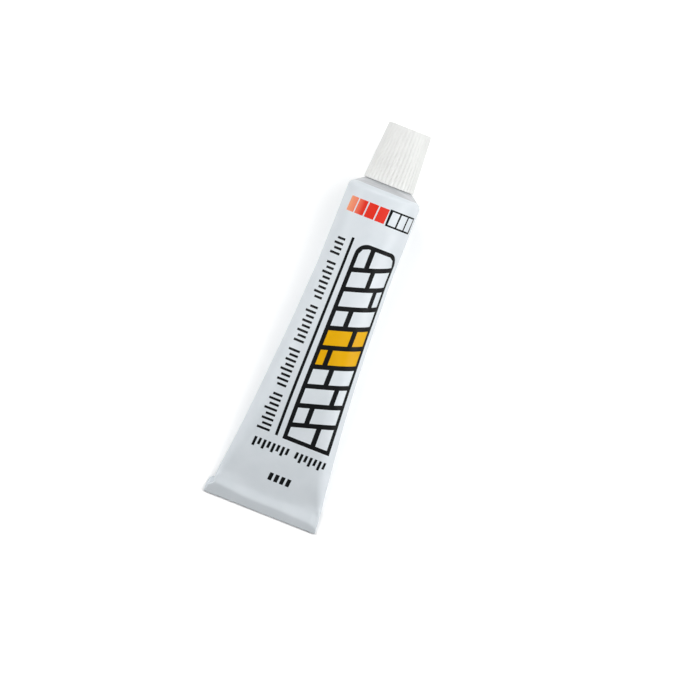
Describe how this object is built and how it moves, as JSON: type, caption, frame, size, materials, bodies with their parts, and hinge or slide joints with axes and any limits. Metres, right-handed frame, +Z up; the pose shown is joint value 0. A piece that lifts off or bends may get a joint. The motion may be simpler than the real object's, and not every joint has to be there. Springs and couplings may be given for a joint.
{
  "type": "caulk tube",
  "caption": "Small collapsible metal tube of sealant, flattened and folded over at one end, with a threaded neck and a fluted screw cap that unscrews and lifts off.",
  "frame": {"origin": "middle of the lying tube's bounding box, on the surface that it lies on", "axes": "+Y along the tube towards the cap, +Z up from the surface with the printed front on top, +X to the right of the print"},
  "size_m": [0.0394, 0.1348, 0.0284],
  "materials": {
    "lacquered_tube": "satin grey-white lacquer over aluminium",
    "white_plastic": "satin white polypropylene",
    "foam_disc": "soft white foam"
  },
  "bodies": {
    "tube": {"tube_body": "lacquered_tube"},
    "disc": {"sealing_disc": "foam_disc"},
    "cap": {"screw_cap": "white_plastic"}
  },
  "joints": [
    {"name": "cap_rise", "type": "slide", "parent": "tube", "child": "disc", "axis": [0, 0.9903, 0.1391], "range_m": [0, 0.012]},
    {"name": "cap_turn", "type": "hinge", "parent": "disc", "child": "cap", "pos_m": [0, 0.05689, 0.01798], "axis": [0, 0.9903, 0.1391], "range_deg": [0, 2160]}
  ],
  "couplings": [
    {"joint": "cap_turn", "follows": "cap_rise", "rad_per_m": 3141.6}
  ]
}
